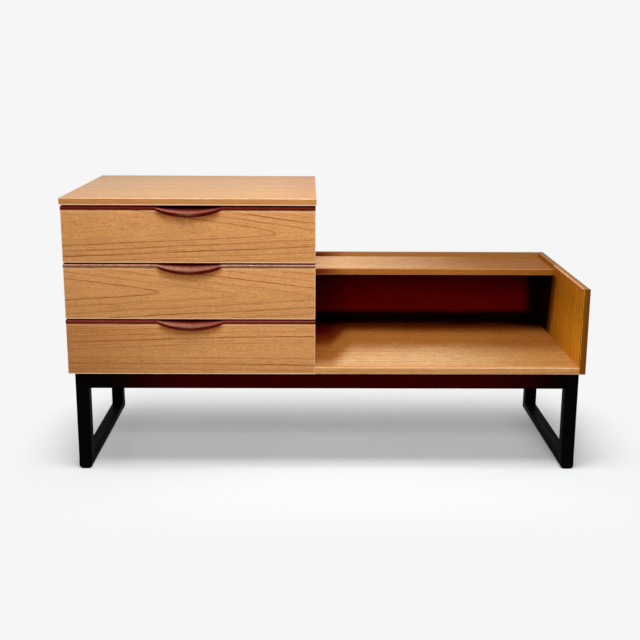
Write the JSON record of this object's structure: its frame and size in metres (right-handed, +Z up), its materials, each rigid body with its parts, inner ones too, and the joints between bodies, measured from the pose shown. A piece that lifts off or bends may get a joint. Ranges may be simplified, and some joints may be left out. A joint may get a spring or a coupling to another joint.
{
  "type": "storage bench with drawers",
  "caption": "Low teak hall bench on black sled legs: a chest of drawers with carved lip pulls at the left, an open deck with a set-back shelf and an end panel at the right.",
  "frame": {"origin": "on the floor, below the middle of the bounding box", "axes": "+X along the bench to the open bay's end, +Y from the drawer fronts to the back, +Z up"},
  "size_m": [1.222, 0.5336, 0.654],
  "materials": {
    "teak_panel": "satin oiled teak veneer",
    "teak_lipping": "satin solid teak",
    "drawer_front": "satin teak veneer with dark figure",
    "pull_hardwood": "satin dark red-brown hardwood",
    "drawer_box": "pale solid hardwood",
    "runner_wood": "waxed pale hardwood",
    "plywood": "pale plywood",
    "bay_back": "dark mahogany stain",
    "base_black": "satin ebonised hardwood",
    "base_rail": "very dark red-brown stain",
    "dowel": "plain beech",
    "steel_screw": "zinc-plated",
    "brass_screw": "dull brass"
  },
  "bodies": {
    "carcass": {"top_panel": "teak_panel", "top_lipping": "teak_lipping", "chest_side_left": "teak_panel", "chest_side_right": "teak_panel", "deck_panel": "teak_panel", "deck_lipping": "teak_lipping", "end_panel": "teak_panel", "end_panel_lipping": "teak_lipping", "end_top_lipping_front": "teak_lipping", "end_top_lipping_rear": "teak_lipping", "shelf_panel": "teak_panel", "shelf_lipping": "teak_lipping", "shelf_back_rail": "teak_lipping", "bay_back_panel": "bay_back", "chest_back_panel": "plywood", "back_screws": "steel_screw", "carcass_dowels": "dowel", "runner_left_bottom": "runner_wood", "runner_left_middle": "runner_wood", "runner_left_top": "runner_wood", "runner_right_bottom": "runner_wood", "runner_right_middle": "runner_wood", "runner_right_top": "runner_wood", "runner_screws": "brass_screw", "leg_front_left": "base_black", "leg_front_right": "base_black", "leg_rear_left": "base_black", "leg_rear_right": "base_black", "sled_left": "base_black", "sled_right": "base_black", "side_bar_left": "base_black", "side_bar_right": "base_black", "front_rail": "base_rail", "rear_rail": "base_rail", "corner_blocks": "runner_wood", "base_dowels": "dowel", "base_screws": "steel_screw"},
    "bottom_drawer": {"bottom_drawer_front": "drawer_front", "bottom_drawer_pull": "pull_hardwood", "bottom_drawer_side_left": "drawer_box", "bottom_drawer_side_right": "drawer_box", "bottom_drawer_back": "drawer_box", "bottom_drawer_base": "plywood"},
    "middle_drawer": {"middle_drawer_front": "drawer_front", "middle_drawer_pull": "pull_hardwood", "middle_drawer_side_left": "drawer_box", "middle_drawer_side_right": "drawer_box", "middle_drawer_back": "drawer_box", "middle_drawer_base": "plywood"},
    "top_drawer": {"top_drawer_front": "drawer_front", "top_drawer_pull": "pull_hardwood", "top_drawer_side_left": "drawer_box", "top_drawer_side_right": "drawer_box", "top_drawer_back": "drawer_box", "top_drawer_base": "plywood"}
  },
  "joints": [
    {"name": "bottom_drawer_slide", "type": "slide", "parent": "carcass", "child": "bottom_drawer", "axis": [0, -1, 0], "range_m": [0, 0.34]},
    {"name": "middle_drawer_slide", "type": "slide", "parent": "carcass", "child": "middle_drawer", "axis": [0, -1, 0], "range_m": [0, 0.34]},
    {"name": "top_drawer_slide", "type": "slide", "parent": "carcass", "child": "top_drawer", "axis": [0, -1, 0], "range_m": [0, 0.34]}
  ]
}
